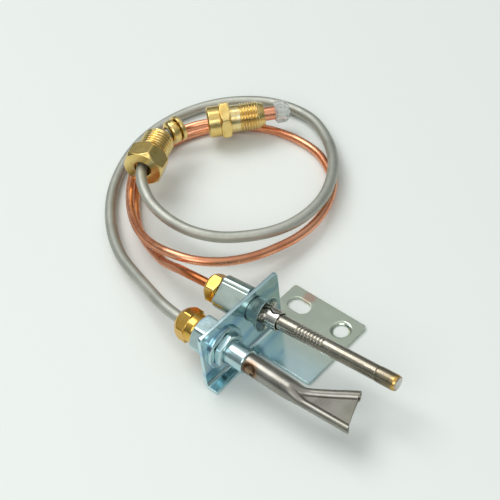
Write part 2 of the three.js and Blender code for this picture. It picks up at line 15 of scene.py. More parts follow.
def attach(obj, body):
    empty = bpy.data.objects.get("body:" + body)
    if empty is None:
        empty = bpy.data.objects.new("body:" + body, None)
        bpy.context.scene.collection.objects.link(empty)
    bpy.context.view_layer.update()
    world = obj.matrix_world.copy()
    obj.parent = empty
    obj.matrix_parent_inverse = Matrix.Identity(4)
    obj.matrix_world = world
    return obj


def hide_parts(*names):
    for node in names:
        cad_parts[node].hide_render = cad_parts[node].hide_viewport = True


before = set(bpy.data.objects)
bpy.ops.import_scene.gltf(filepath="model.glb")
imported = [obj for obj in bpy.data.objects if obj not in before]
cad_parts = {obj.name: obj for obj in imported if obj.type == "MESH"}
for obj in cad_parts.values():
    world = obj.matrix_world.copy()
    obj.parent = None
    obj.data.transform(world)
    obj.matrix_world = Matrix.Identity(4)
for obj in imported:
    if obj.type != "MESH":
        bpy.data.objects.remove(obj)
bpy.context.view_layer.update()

MM = 0.001
FULL = 2 * math.pi
QUARTER = math.pi / 2

GAS_TUBE = 3.175 / 2  # radius
LEAD = 1.25  # radius
BURNER_Y, BURNER_Z = -27.3, 9.8  # the burner's axis
PROBE_Y, PROBE_Z = -15.5, 13.4  # the thermocouple's axis, where it starts

GAS_TUBE_ROUTE = [
    (-12.7, -27.3, 9.8), (-18, -27.3, 9.8), (-24, -27.3, 9.8), (-30, -26.4, 9.2),
    (-37.5, -24.1, 7.6), (-45.5, -21.5, 5.8), (-54, -18.5, 4.4), (-61.5, -14.5, 3.4),
    (-69, -9, 2.6), (-75.5, -2.5, 2.1), (-80.5, 4.5, 1.8), (-84.5, 13, 1.7),
    (-86.5, 21.5, 1.7), (-86.5, 30, 1.7), (-84.5, 38.5, 1.7), (-80.5, 46, 1.8),
    (-74.5, 52, 2.1), (-67.5, 56.5, 2.1), (-59, 58.8, 2.1), (-51, 58.3, 2.3),
    (-44, 55.2, 2.8), (-37.2, 50.3, 3.8), (-31.5, 44.6, 5.1), (-27.1, 38.2, 6),
    (-24.2, 31.5, 6.4), (-23.2, 25, 6.6), (-23.8, 18.5, 6.7), (-26, 12.5, 6.9),
    (-30, 7, 7), (-36, 1.6, 7.2), (-43, -1.8, 7.8), (-50.5, -2.9, 8.6),
    (-58, -2, 9.7), (-63.6, 0.5, 10.6), (-67.5, 3.5, 11.1), (-70, 6.7, 11.4),
    (-71.9, 10.1, 11.5), (-73.1, 13.6, 11.5), (-73.6, 16.9, 11.5), (-73.4, 20.2, 11.5),
    (-72.7, 23.8, 11.5),
]
LEAD_ROUTE = [
    (-15.6, -16, 13.4), (-20, -16.35, 13.4), (-24.4, -16.6, 13.3), (-29, -16.5, 12.5),
    (-34, -15.6, 10.4), (-38.5, -14.5, 7.9), (-43, -13.4, 5.8), (-48.7, -11.5, 4.3),
    (-55, -9.1, 3), (-61, -5.9, 2.1), (-67, -1.2, 1.5), (-72.5, 4.7, 1.3),
    (-76.5, 11.5, 1.3), (-78.8, 19, 1.3), (-78.5, 26.5, 1.3), (-76, 33.5, 1.3),
    (-71.5, 40, 1.3), (-65, 45.2, 1.3), (-57, 48.5, 1.3), (-49, 49.5, 1.3),
    (-41, 48.5, 1.4), (-34, 45, 1.7), (-28, 40, 2.2), (-24, 33, 2.8),
    (-21.6, 25.5, 3.5), (-21, 17, 4.4), (-22.2, 9, 5.6), (-24.4, 1, 7.2),
    (-28.2, -6.2, 9.1), (-33.2, -10.8, 10.4), (-39.6, -12.9, 10.6), (-47.3, -12.6, 9),
    (-54.5, -10.4, 7.1), (-61, -7, 5.8), (-67, -2.6, 4.9), (-72.5, 2.8, 4.4),
    (-76.6, 8.4, 4.2), (-79, 14, 4.3), (-79.4, 19.5, 4.6), (-78.4, 24, 5.2),
    (-76.3, 27.7, 6.1), (-73.6, 30.8, 7.2), (-70.8, 34, 7.7), (-66, 39.6, 7.7),
    (-61.6, 44.8, 7.7),
]


def station(position, heading=0.0):
    """The place of a piece whose own x axis is level, at a heading in degrees."""
    turn = Matrix.Rotation(math.radians(heading), 4, "Z")
    return Matrix.Translation(Vector(position) * MM) @ turn


WHOLE = Matrix.Identity(4)
BURNER = station((0, BURNER_Y, BURNER_Z))
PROBE = station((-8.2, PROBE_Y, PROBE_Z), 4.1)
OUTLET = station((-68.6, 5.1, 11.5), 112.5)
TUBE_END = station((-72.8, 23.2, 11.5), 80)
CONNECTOR = station((-70.8, 34, 7.7), 49.6)


def placed(name, data):
    """A new object in the scene."""
    thing = bpy.data.objects.new(name, data)
    bpy.context.scene.collection.objects.link(thing)
    return thing


# ---- Camera ----
def make_camera():
    azimuth, elevation, roll = (math.radians(a) for a in (46.57, 46.0, -6.71))
    target = Vector((-0.03125, 0.00775, 0))
    distance = 0.34412
    back = Vector((
        math.sin(azimuth) * math.cos(elevation),
        -math.cos(azimuth) * math.cos(elevation),
        math.sin(elevation),
    ))
    data = bpy.data.cameras.new("camera")
    data.lens = 90
    data.sensor_width = 36
    data.clip_start = 0.01
    camera = placed("camera", data)
    camera.rotation_mode = "QUATERNION"
    camera.location = target + back * distance
    camera.rotation_quaternion = (-back).to_track_quat("-Z", "Y") @ Quaternion((0, 0, 1), roll)
    bpy.context.scene.camera = camera


# ---- Meshes ----
def closed_mesh(name, points, faces):
    """A mesh in metres from points in millimetres, with its faces turned outwards."""
    mesh = bpy.data.meshes.new(name)
    mesh.from_pydata([tuple(c * MM for c in p) for p in points], [], faces)
    made = bmesh.new()
    made.from_mesh(mesh)
    bmesh.ops.remove_doubles(made, verts=made.verts, dist=0.0002 * MM)
    bmesh.ops.recalc_face_normals(made, faces=made.faces)
    made.to_mesh(mesh)
    made.free()
    return mesh


def show(name, points, faces, at, look, body, slot):
    """Makes the visible piece that stands for the CAD node of that name."""
    mesh = closed_mesh(name + "_detail", points, faces)
    mesh.shade_smooth()
    mesh.set_sharp_from_angle(angle=math.radians(40))
    mesh.materials.append(look)
    piece = placed(name + "_detail", mesh)
    piece.matrix_world = at
    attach(piece, body)
    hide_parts(name)
    return piece


def bands(count, rings, first=0):
    """Faces between rings of count points each, from the point numbered first."""
    faces = []
    for ring in range(rings - 1):
        for i in range(count):
            a, b = first + ring * count + i, first + ring * count + (i + 1) % count
            faces.append((a, b, b + count, a + count))
    return faces


def loft(sections):
    """A closed body through sections that hold the same number of points."""
    count = len(sections[0])
    faces = bands(count, len(sections))
    faces.append(tuple(range(count)))
    faces.append(tuple((len(sections) - 1) * count + i for i in range(count)))
    return [point for section in sections for point in section], faces


def joined(*shapes):
    """Several shapes as one."""
    points, faces = [], []
    for shape_points, shape_faces in shapes:
        first = len(points)
        points += shape_points
        faces += [tuple(first + i for i in face) for face in shape_faces]
    return points, faces


def eased(profile, size, closed, steps=4):
    """A profile with every corner rounded, and a point just before and after each rounding."""
    points = [np.array(p[:2], float) for p in profile]
    sizes = [p[2] if len(p) > 2 else size for p in profile]
    count = len(points)
    result = []
    for i, (corner, ease) in enumerate(zip(points, sizes)):
        if not closed and i in (0, count - 1):
            result.append(corner)
            continue
        to_last = points[i - 1] - corner
        to_next = points[(i + 1) % count] - corner
        reach = 0.4 * min(np.linalg.norm(to_last), np.linalg.norm(to_next))
        cut = min(ease, reach)
        to_last = to_last / max(np.linalg.norm(to_last), 1e-9)
        to_next = to_next / max(np.linalg.norm(to_next), 1e-9)
        start, end = corner + to_last * cut, corner + to_next * cut
        result.append(corner + to_last * cut * 1.2)
        for k in range(steps + 1):
            t = k / steps
            result.append((1 - t) ** 2 * start + 2 * t * (1 - t) * corner + t * t * end)
        result.append(corner + to_next * cut * 1.2)
    return result


def polar(column, angles):
    """Points and faces of a body whose profile, column(angle), may change round its x axis.

    A profile that starts on the axis is solid, and any other is closed into a ring.
    """
    grid = [column(angle) for angle in angles]
    rows = len(grid[0])
    closed = grid[0][0][1] > 1e-6
    points = [
        (x, r * math.cos(angle), r * math.sin(angle))
        for angle, profile in zip(angles, grid)
        for x, r in profile
    ]
    faces = []
    for j in range(len(angles)):
        here, there = j * rows, (j + 1) % len(angles) * rows
        for i in range(rows if closed else rows - 1):
            k = (i + 1) % rows
            faces.append((here + i, there + i, there + k, here + k))
    return points, faces


def round_angles(count):
    return [FULL * j / count for j in range(count)]


def turned(profile, size, sides=96):
    """A plain turned body, from [x, radius] or [x, radius, rounding] points."""
    line = eased(profile, size, profile[0][1] > 0)
    return polar(lambda angle: line, round_angles(sides))


# ---- Hexagons ----
def hex_radius(angle, flats, turn):
    """Distance from the axis to a hexagon whose corners are slightly rounded."""
    sector = (angle - turn) % (FULL / 6) - FULL / 12
    side = flats / 2 / math.cos(sector)
    round_limit = flats / math.sqrt(3) - 0.03 * math.sqrt(flats)
    power = 90
    return (side ** -power + round_limit ** -power) ** (-1 / power)


def hex_angles(turn, per_side=26):
    """Angles that crowd together towards a hexagon's corners."""
    angles = []
    for side in range(6):
        for k in range(per_side):
            s = 2 * k / per_side - 1
            bunched = s * (1.5 - 0.5 * s * s)
            angles.append(turn + FULL / 12 + side * FULL / 6 + bunched * FULL / 12)
    return angles


def hex_part(start, end, flats, turn, cut):
    """The outer profile of a hexagon with its corners turned off, as a function of the angle."""
    face = flats / 2 - 0.1
    slope = cut / (flats / math.sqrt(3) + 0.1 - face)

    def outline(angle):
        radius = hex_radius(angle, flats, turn)
        lean = (radius - face) * slope
        return [(start, face), (start + lean, radius), (end - lean, radius), (end, face)]

    return outline


# ---- Threads ----
def thread_part(start, end, root, crest, count, per_turn=14):
    """The outer profile of a helical thread that fades in and out at its ends."""
    pitch = (end - start) / count

    def outline(angle):
        line = []
        for k in range(count * per_turn + 1):
            turns = k / per_turn
            phase = (turns - angle / FULL) % 1
            height = min(1, max(0, 2.6 * (0.5 - abs(phase - 0.5)) - 0.12))
            height = height * height * (3 - 2 * height)
            fade = min(1, turns / 0.7, (count - turns) / 0.7)
            line.append((start + turns * pitch, root + (crest - root) * height * fade))
        return line

    return outline


# ---- Cords ----
def smooth_route(route, per_span=10):
    """Points on the centripetal Catmull-Rom curve through a route."""
    knots = [np.array(p, float) for p in route]
    knots = [2 * knots[0] - knots[1], *knots, 2 * knots[-1] - knots[-2]]
    points = []
    for a, b, c, d in zip(knots, knots[1:], knots[2:], knots[3:]):
        gaps = [np.linalg.norm(q - p) ** 0.5 for p, q in ((a, b), (b, c), (c, d))]
        leave = (b - a) / gaps[0] - (c - a) / (gaps[0] + gaps[1]) + (c - b) / gaps[1]
        arrive = (c - b) / gaps[1] - (d - b) / (gaps[1] + gaps[2]) + (d - c) / gaps[2]
        leave, arrive = leave * gaps[1], arrive * gaps[1]
        for k in range(per_span):
            t = k / per_span
            points.append(
                b + leave * t
                + (3 * (c - b) - 2 * leave - arrive) * t ** 2
                + (2 * (b - c) + leave + arrive) * t ** 3
            )
    points.append(knots[-2])
    return np.array(points)


def swept(centres, radius, bore, depth=6, sides=28):
    """A round tube along points, with its places round and along it, and a bore in its far end."""
    ways = np.gradient(centres, axis=0)
    ways /= np.linalg.norm(ways, axis=1)[:, None]
    lengths = np.r_[0, np.cumsum(np.linalg.norm(np.diff(centres, axis=0), axis=1))]
    side = np.cross(ways[0], (0, 0, 1))
    rings, places = [], []

    def ring(i, size):
        out = side / np.linalg.norm(side)
        up = np.cross(out, ways[i])
        turns = [(math.cos(angle), math.sin(angle)) for angle in round_angles(sides)]
        rings.append([centres[i] + (out * c + up * s) * size for c, s in turns])
        places.extend((c * radius, s * radius, lengths[i]) for c, s in turns)

    last = len(centres) - 1
    for i in range(last + 1):
        side = side - ways[i] * side.dot(ways[i])
        ring(i, radius - (0.15 if i == last else 0))
    if bore:
        for i in (last, last - depth):
            ring(i, bore)
    return *loft(rings), places


def make_tube(name, route, radius, look, slot, bore=0.0):
    centres = smooth_route(route)
    points, faces, places = swept(centres, radius, bore)
    piece = show(name, points, faces, WHOLE, look, "pilot", slot)
    drawn = piece.data.attributes.new("drawn", "FLOAT_VECTOR", "POINT")
    drawn.data.foreach_set("vector", np.array(places, np.float32).ravel())
    return piece, centres * MM


# ---- Materials ----
class Look:
    """A material, with short names for the nodes that the looks share. Its scales are per mm."""

    def __init__(self, name, **sockets):
        self.material = bpy.data.materials.new(name)
        self.material.use_nodes = True
        self.tree = self.material.node_tree
        self.shader = self.tree.nodes["Principled BSDF"]
        for socket, value in sockets.items():
            self.shader.inputs[socket.replace("_", " ")].default_value = value
        place = self.add("ShaderNodeTexCoord").outputs["Object"]
        self.place = self.vector("SCALE", place, Scale=1 / MM)

    def add(self, kind, inputs=(), **settings):
        node = self.tree.nodes.new(kind)
        for key, value in settings.items():
            setattr(node, key, value)
        for socket, value in dict(inputs).items():
            self.join(value, node.inputs[socket])
        return node

    def join(self, value, socket):
        if isinstance(value, bpy.types.NodeSocket):
            self.tree.links.new(value, socket)
        else:
            socket.default_value = value

    def vector(self, operation, first, second=None, **named):
        inputs = {0: first, **named}
        if second is not None:
            inputs[1] = second
        node = self.add("ShaderNodeVectorMath", inputs, operation=operation)
        return node.outputs["Value" if operation in ("LENGTH", "DISTANCE") else "Vector"]

    def math(self, operation, first, second=0.0):
        return self.add("ShaderNodeMath", {0: first, 1: second}, operation=operation).outputs[0]

    def noise(self, scale, stretch=(1, 1, 1), detail=3.0, place=None):
        place = self.vector("MULTIPLY", place or self.place, stretch)
        inputs = {"Vector": place, "Scale": scale, "Detail": detail}
        return self.add("ShaderNodeTexNoise", inputs).outputs[0]

    def fit(self, value, low, high, to_low=0.0, to_high=1.0):
        inputs = {0: value, 1: low, 2: high, 3: to_low, 4: to_high}
        return self.add("ShaderNodeMapRange", inputs).outputs[0]

    def mix(self, amount, first, second):
        inputs = {0: amount, 6: first, 7: second}
        return self.add("ShaderNodeMix", inputs, data_type="RGBA").outputs[2]

    def blotched(self, clouds, first, second):
        """Two colours that run into each other in soft blotches."""
        return self.mix(self.fit(clouds, 0.35, 0.65), first, second)

    def uneven(self, scale, detail, low, high):
        """A value that wanders between low and high, for roughness."""
        return self.fit(self.noise(scale, detail=detail), 0.3, 0.7, low, high)

    def bump(self, height, strength, distance, under=None):
        inputs = {"Height": height, "Strength": strength, "Distance": distance * MM}
        if under is not None:
            inputs["Normal"] = under
        return self.add("ShaderNodeBump", inputs).outputs[0]

    def wear(self, low=0.51, high=0.56):
        """1 on worn outer edges, 0 elsewhere, broken up by noise."""
        edge = self.fit(self.add("ShaderNodeNewGeometry").outputs["Pointiness"], low, high)
        return self.math("MULTIPLY", edge, self.fit(self.noise(1.3), 0.35, 0.6))

    def turned_place(self):
        """x along the axis and the distance from it, for marks that a lathe leaves."""
        parts = self.add("ShaderNodeSeparateXYZ", {0: self.place}).outputs
        across = self.add("ShaderNodeCombineXYZ", {1: parts[1], 2: parts[2]}).outputs[0]
        inputs = {0: parts[0], 1: self.vector("LENGTH", across)}
        return self.add("ShaderNodeCombineXYZ", inputs).outputs[0]

    def finish(self, color, roughness, normal):
        self.join(color, self.shader.inputs["Base Color"])
        self.join(roughness, self.shader.inputs["Roughness"])
        self.join(normal, self.shader.inputs["Normal"])
        return self.material


def rgb(red, green, blue):
    """A colour given in display values from 0 to 255."""
    return (*(((c / 255) ** 2.2) for c in (red, green, blue)), 1)


def zinc(name, light, dark, marks_along, roughness, band=0.3, lying_reflection_tint=None):
    """Bright zinc plate with a cool passivated cast and faint marks from rolling or turning, with
    painted reflection: bands that change with height, and a greener grey on the lying sheet.
    """
    look = Look(name, Metallic=1.0)
    clouds = look.noise(0.09, detail=2)
    color = look.blotched(clouds, light, dark)
    _, across, height = look.add("ShaderNodeSeparateXYZ", {0: look.place}).outputs
    # Painted reflection: bands of a cool colour that rise and fall with height, standing in for
    # the room mirrored in the zinc; band sets their strength.
    wave = look.math("ADD", height, look.math("MULTIPLY", look.noise(0.12, detail=2), 9.0))
    blue = look.fit(look.math("SINE", look.math("MULTIPLY", wave, 0.75)), 0.2, 1.0, 0, band)
    color = look.mix(blue, color, rgb(116, 168, 208))
    # Painted reflection: the lying part of the sheet, low down and towards the tongue, takes a
    # greener grey than the standing plate.
    if lying_reflection_tint:
        lying_sheet_reflection = look.math("MULTIPLY", look.fit(height, 1.3, 1.05), look.fit(across, -17, -7))
        color = look.mix(lying_sheet_reflection, color, lying_reflection_tint)
        from_stain = look.vector("DISTANCE", look.place, (-6.4, 3.7, 1))
        ragged = look.math("ADD", from_stain, look.noise(0.8))
        color = look.mix(look.fit(ragged, 2.9, 1.7, 0, 0.55), color, rgb(206, 150, 132))
    rough = look.uneven(0.4, 2, *roughness)
    if marks_along:
        marks = look.noise(2.2, stretch=(0.08, 1, 1), detail=2)
    else:
        marks = look.noise(6.0, place=look.turned_place(), detail=2)
    normal = look.bump(marks, 0.06, 0.008)
    normal = look.bump(look.noise(0.22, detail=1), 0.3, 0.08, normal)
    return look.finish(color, rough, normal)


def brass(name, light, dark):
    look = Look(name, Metallic=1.0)
    clouds = look.noise(0.3, detail=3)
    color = look.mix(look.fit(clouds, 0.3, 0.7), dark, light)
    tarnish = look.fit(look.noise(0.5, detail=5), 0.6, 0.8, 0, 0.6)
    color = look.mix(tarnish, color, rgb(196, 160, 88))
    color = look.mix(look.wear(), color, rgb(248, 238, 200))
    lathe = look.noise(5.0, place=look.turned_place(), detail=2)
    roughness = look.uneven(0.5, 3, 0.16, 0.26)
    normal = look.bump(lathe, 0.05, 0.006)
    normal = look.bump(look.noise(0.4, detail=1), 0.15, 0.02, normal)
    return look.finish(color, roughness, normal)


def drawn_metal(name, light, dark, stain, roughness, heated=None):
    """Soft metal drawn through a die, with marks from handling. Its start may be heat-stained."""
    look = Look(name, Metallic=1.0)
    along = look.add("ShaderNodeAttribute", attribute_name="drawn").outputs["Vector"]
    lines = look.noise(1.0, stretch=(2.2, 2.2, 0.03), detail=2, place=along)
    clouds = look.noise(0.08, detail=2)
    color = look.blotched(clouds, light, dark)
    stains = look.fit(look.noise(0.15, detail=2), 0.5, 0.75)
    color = look.mix(look.math("MULTIPLY", stains, 0.5), color, stain)
    color = look.mix(look.fit(lines, 0.5, 0.75, 0, 0.08), color, stain)
    if heated:
        length = look.add("ShaderNodeSeparateXYZ", {0: along}).outputs[2]
        color = look.mix(look.fit(length, 32, 12, 0, 0.85), color, heated)
    rough = look.uneven(0.7, 6, *roughness)
    normal = look.bump(lines, 0.05, 0.01)
    normal = look.bump(look.noise(0.2, detail=1), 0.25, 0.06, normal)
    nicks = look.fit(look.noise(0.7, detail=1, place=along), 0.72, 0.88)
    normal = look.bump(nicks, 0.1, -0.03, normal)
    return look.finish(color, rough, normal)


def stainless():
    """Bright steel with long rolling lines."""
    look = Look("stainless", Metallic=1.0)
    lines = look.noise(1.0, stretch=(0.1, 3.5, 3.5), detail=4)
    clouds = look.noise(0.2, detail=5)
    color = look.blotched(clouds, rgb(176, 170, 160), rgb(190, 188, 182))
    color = look.mix(look.fit(look.noise(0.5, detail=6), 0.55, 0.75), color, rgb(158, 146, 130))
    color = look.mix(look.wear(), color, rgb(232, 230, 224))
    roughness = look.uneven(0.8, 6, 0.16, 0.32)
    normal = look.bump(lines, 0.12, 0.01)
    return look.finish(color, roughness, normal)


def hood_steel():
    """The burner tube's steel, with a heat-tinted ring where it is spot-welded to the nose."""
    look = Look("hood_steel", Metallic=1.0)
    lines = look.noise(1.0, stretch=(0.05, 3.0, 3.0), detail=1)
    clouds = look.noise(0.18, detail=2)
    color = look.blotched(clouds, rgb(138, 135, 127), rgb(154, 152, 145))
    weld = look.vector("DISTANCE", look.place, (2.9, -29.9, 10.75))
    ragged = look.math("ADD", weld, look.math("MULTIPLY", look.noise(1.4), 0.9))
    straw = look.fit(ragged, 3.6, 2.5)
    color = look.mix(look.math("MULTIPLY", straw, 0.75), color, rgb(150, 116, 84))
    ring = look.math("MULTIPLY", look.fit(ragged, 2.6, 2.1), look.fit(ragged, 1.5, 1.9))
    color = look.mix(ring, color, rgb(92, 66, 50))
    dot = look.fit(look.vector("DISTANCE", look.place, (3.7, -29.85, 9.9)), 0.75, 0.4)
    color = look.mix(dot, color, rgb(40, 32, 30))
    heat = look.fit(look.add("ShaderNodeSeparateXYZ", {0: look.place}).outputs[0], 24, 32)
    color = look.mix(look.math("MULTIPLY", heat, 0.35), color, rgb(150, 150, 128))
    color = look.mix(look.wear(0.56, 0.66), color, rgb(222, 220, 214))
    roughness = look.uneven(0.3, 1, 0.26, 0.36)
    normal = look.bump(lines, 0.1, 0.01)
    normal = look.bump(ring, 0.5, -0.05, normal)
    return look.finish(color, roughness, normal)


def probe_steel():
    """The thermocouple's sheath: drawn steel that browns towards the hot end."""
    look = Look("probe_steel", Metallic=1.0)
    lines = look.noise(1.0, stretch=(0.08, 5, 5), detail=4)
    clouds = look.noise(0.35, stretch=(0.4, 1, 1), detail=6)
    color = look.blotched(clouds, rgb(144, 140, 129), rgb(162, 158, 147))
    x = look.add("ShaderNodeSeparateXYZ", {0: look.place}).outputs[0]
    uneven = look.math("ADD", x, look.math("MULTIPLY", look.noise(0.6), 5.0))
    color = look.mix(look.fit(uneven, 28, 42, 0, 0.6), color, rgb(138, 129, 110))
    specks = look.fit(look.noise(1.1, detail=5), 0.6, 0.7)
    color = look.mix(look.math("MULTIPLY", specks, 0.5), color, rgb(96, 84, 68))
    color = look.mix(look.wear(), color, rgb(224, 216, 200))
    roughness = look.uneven(0.9, 4, 0.18, 0.3)
    normal = look.bump(lines, 0.15, 0.01)
    normal = look.bump(specks, 0.15, -0.02, normal)
    return look.finish(color, roughness, normal)


def heat_tinted():
    """The hot end's cap: straw and bronze oxide."""
    look = Look("heat_tint", Metallic=1.0)
    x = look.add("ShaderNodeSeparateXYZ", {0: look.place}).outputs[0]
    uneven = look.math("ADD", x, look.math("MULTIPLY", look.noise(0.7, detail=4), 1.6))
    color = look.mix(look.fit(uneven, 40, 42.4), rgb(140, 132, 115), rgb(146, 132, 106))
    color = look.mix(look.fit(uneven, 42.5, 43.2), color, rgb(200, 162, 94))
    color = look.mix(look.wear(), color, rgb(240, 222, 190))
    roughness = look.uneven(1.2, 6, 0.18, 0.36)
    lathe = look.noise(5.0, place=look.turned_place(), detail=3)
    return look.finish(color, roughness, look.bump(lathe, 0.25, 0.012))


def dull(name, light, dark, grain):
    """A matt, grainy material: fired ceramic or pressed fibre."""
    look = Look(name)
    color = look.blotched(look.noise(0.8, detail=6), light, dark)
    roughness = look.uneven(2.0, 3, 0.7, 0.9)
    return look.finish(color, roughness, look.bump(look.noise(grain, detail=6), 0.5, 0.03))


def clear_plastic():
    look = Look("clear_plastic", IOR=1.46, Transmission_Weight=0.8)
    haze = look.fit(look.noise(0.5, detail=5), 0.3, 0.75)
    color = look.mix(haze, rgb(252, 254, 252), rgb(242, 247, 244))
    roughness = look.fit(look.noise(0.8, detail=6), 0.3, 0.75, 0.15, 0.3)
    scuffs = look.noise(1.0, stretch=(0.5, 6, 6), detail=4)
    return look.finish(color, roughness, look.bump(scuffs, 0.15, 0.02))


# ---- Bracket ----
SHEET = 1.0
PLATE_TOP = 18.5
BEND_X, BEND_Z = -6.7, 2.0  # the bend's centre line
FOLD_Y = -5.8  # material at a lower y than this and behind the bend stands up
NEUTRAL = 1.5  # radius at which the bend is as long as the flat sheet
BEND_LENGTH = NEUTRAL * QUARTER


def flat_u(z):
    """Where a height on the standing plate lies along the flat sheet."""
    return BEND_X - BEND_LENGTH - (z - BEND_Z)


def fold(u, y, t):
    """The place of a point of the flat sheet, t above its underside, once it is bent."""
    if y > FOLD_Y or u > BEND_X:
        return (u, y, t)
    run = BEND_X - u
    radius = BEND_Z - t
    if run < BEND_LENGTH:
        angle = run / NEUTRAL
        return (BEND_X - radius * math.sin(angle), y, BEND_Z - radius * math.cos(angle))
    return (BEND_X - radius, y, BEND_Z + run - BEND_LENGTH)


def rounded_loop(corners, steps=6):
    """A closed outline from (x, y, radius) corners."""
    loop = []
    for i, (x, y, radius) in enumerate(corners):
        corner = np.array((x, y), float)
        last = np.array(corners[i - 1][:2], float) - corner
        following = np.array(corners[(i + 1) % len(corners)][:2], float) - corner
        last /= np.linalg.norm(last)
        following /= np.linalg.norm(following)
        for k in range(steps + 1):
            sweep = QUARTER * k / steps
            away = radius * ((1 - math.sin(sweep)) * last + (1 - math.cos(sweep)) * following)
            loop.append(corner + away)
    return loop


def hole_loop(x, y, radius, stretch=0.0, count=72):
    """A round hole's outline, or a slot's where stretch is the length of its straight part."""
    loop = []
    for angle in round_angles(count):
        shift = math.copysign(stretch / 2, math.cos(angle))
        loop.append(np.array((x + shift + radius * math.cos(angle), y + radius * math.sin(angle))))
    return loop


def with_bend_points(loop, rows):
    """Adds a point to the outline wherever a row across the bend meets it."""
    result = []
    for a, b in zip(loop, loop[1:] + loop[:1]):
        result.append(a)
        if a[1] > FOLD_Y or b[1] > FOLD_Y or abs(a[1] - b[1]) > 1e-6:
            continue
        crossed = [u for u in rows if min(a[0], b[0]) + 1e-6 < u < max(a[0], b[0]) - 1e-6]
        crossed.sort(reverse=bool(a[0] > b[0]))
        result.extend(np.array((u, a[1])) for u in crossed)
    return result


def shrunk(loop, inset):
    """An outline moved into the material, which lies on its left."""
    points = np.array(loop)
    before = points - np.roll(points, 1, axis=0)
    after = np.roll(points, -1, axis=0) - points
    before /= np.maximum(np.linalg.norm(before, axis=1), 1e-9)[:, None]
    after /= np.maximum(np.linalg.norm(after, axis=1), 1e-9)[:, None]
    normals = np.stack((-(before + after)[:, 1], (before + after)[:, 0]), axis=1)
    normals /= np.linalg.norm(normals, axis=1)[:, None]
    facing = np.stack((-after[:, 1], after[:, 0]), axis=1)
    stretch = 1 / np.maximum((normals * facing).sum(axis=1), 0.5)
    return points + normals * (inset * stretch)[:, None]


def inside(loop, x, y):
    """Whether a point lies in an outline."""
    a, b = np.array(loop), np.roll(np.array(loop), -1, axis=0)
    crosses = (a[:, 1] > y) != (b[:, 1] > y)
    rise = np.where(crosses, b[:, 1] - a[:, 1], 1)
    at = a[:, 0] + (y - a[:, 1]) / rise * (b[:, 0] - a[:, 0])
    return bool((crosses & (x < at)).sum() % 2)


def rim(edge=0.14, steps=4, coin=0.0, coined=0.0):
    """(inset, height) pairs over a sheet's edge, from its upper face to its lower one."""
    arc = [QUARTER * k / steps for k in range(steps + 1)]
    over = [(edge * (1 - math.sin(a)), SHEET - edge * (1 - math.cos(a))) for a in arc]
    if coin:
        over = [(coin + 0.1, SHEET), (coin, SHEET - 0.02), (0.12, SHEET - coined + 0.06)]
        over.append((0, SHEET - coined - 0.08))
    under = [(edge * (1 - math.cos(a)), edge * (1 - math.sin(a))) for a in arc]
    return [(over[0][0] + 0.08, SHEET), *over, *under, (edge + 0.08, 0)]


def cap(loops, ties):
    """Triangles between an outer outline and the holes in it, as indices into their points."""
    points = [Vector(p) for loop in loops for p in loop]
    edges, first = [], 0
    for loop in loops:
        count = len(loop)
        edges += [(first + i, first + (i + 1) % count) for i in range(count)]
        first += count
    made = delaunay_2d_cdt(points, edges + ties, [], 0, 1e-7)
    origin = [ids[0] for ids in made[3]]
    triangles = []
    for triangle in made[2]:
        x, y = np.mean([made[0][i][:] for i in triangle], axis=0)
        if inside(loops[0], x, y) and not any(inside(hole, x, y) for hole in loops[1:]):
            triangles.append([origin[i] for i in triangle])
    return triangles


def bracket():
    """A flat sheet with its holes, whose rear left part is bent up into the plate."""
    top, foot = flat_u(PLATE_TOP), -4.5
    left, right = -34.5, -6  # the plate's sides
    tongue_left, tongue_right, tongue_rear, tongue_front = -18.3, 5.1, -12.5, 11.5
    slit_x, slit_y = -6.5, -5.6  # where the tongue parts from the plate
    bend_steps = 10
    rows = [BEND_X - BEND_LENGTH * k / bend_steps for k in range(bend_steps + 1)]
    outer = rounded_loop([
        (top, left, 1.2), (foot, left, 0.25), (foot, tongue_left, 0.4),
        (tongue_front, tongue_left, 0.8), (tongue_front, tongue_right, 0.8),
        (tongue_rear, tongue_right, 0.8), (tongue_rear, slit_y, 0.25), (slit_x, slit_y, 0.15),
        (slit_x, right, 0.15), (top, right, 1.2),
    ])
    outer = with_bend_points(outer, rows)
    holes = [
        hole_loop(flat_u(BURNER_Z), BURNER_Y, 3.3)[::-1],
        hole_loop(flat_u(PROBE_Z), PROBE_Y, 3.5)[::-1],
        hole_loop(-6.9, 0, 2.25, stretch=2.3)[::-1],
        hole_loop(6.9, 0.2, 2.05)[::-1],
    ]
    loops = [outer, *holes]
    rims = [rim()] * 4 + [rim(coin=0.75, coined=0.55)]
    ties = []
    for u in rows:
        met = [i for i, p in enumerate(outer) if abs(p[0] - u) < 1e-6 and p[1] < FOLD_Y]
        ties.append((met[0], met[-1]))
    points, faces, ends = [], [], ([], [])
    for loop, profile in zip(loops, rims):
        count = len(loop)
        first = len(points)
        for inset, height in profile:
            points += [fold(u, y, height) for u, y in shrunk(loop, inset)]
        faces += bands(count, len(profile), first)
        ends[0].extend(range(first, first + count))
        ends[1].extend(range(len(points) - count, len(points)))
    for end, index in zip((0, -1), ends):
        outlines = [shrunk(loop, profile[end][0]) for loop, profile in zip(loops, rims)]
        faces += [tuple(index[i] for i in triangle) for triangle in cap(outlines, ties)]
    return points, faces


# ---- Pilot burner ----
def burner_body():
    hexagon = hex_part(-14.9, -8.85, 9.5, 0, 0.6)

    def column(angle):
        return eased([
            (-14.9, 3.7), *hexagon(angle), (-8.85, 3.15, 0.1), (0.45, 3.15), (0.7, 3.0, 0.05),
            (0.7, 2.62, 0.05), (-10.3, 2.62), (-10.3, 3.5), (-14.6, 3.5),
        ], 0.14, True)

    return polar(column, hex_angles(0))


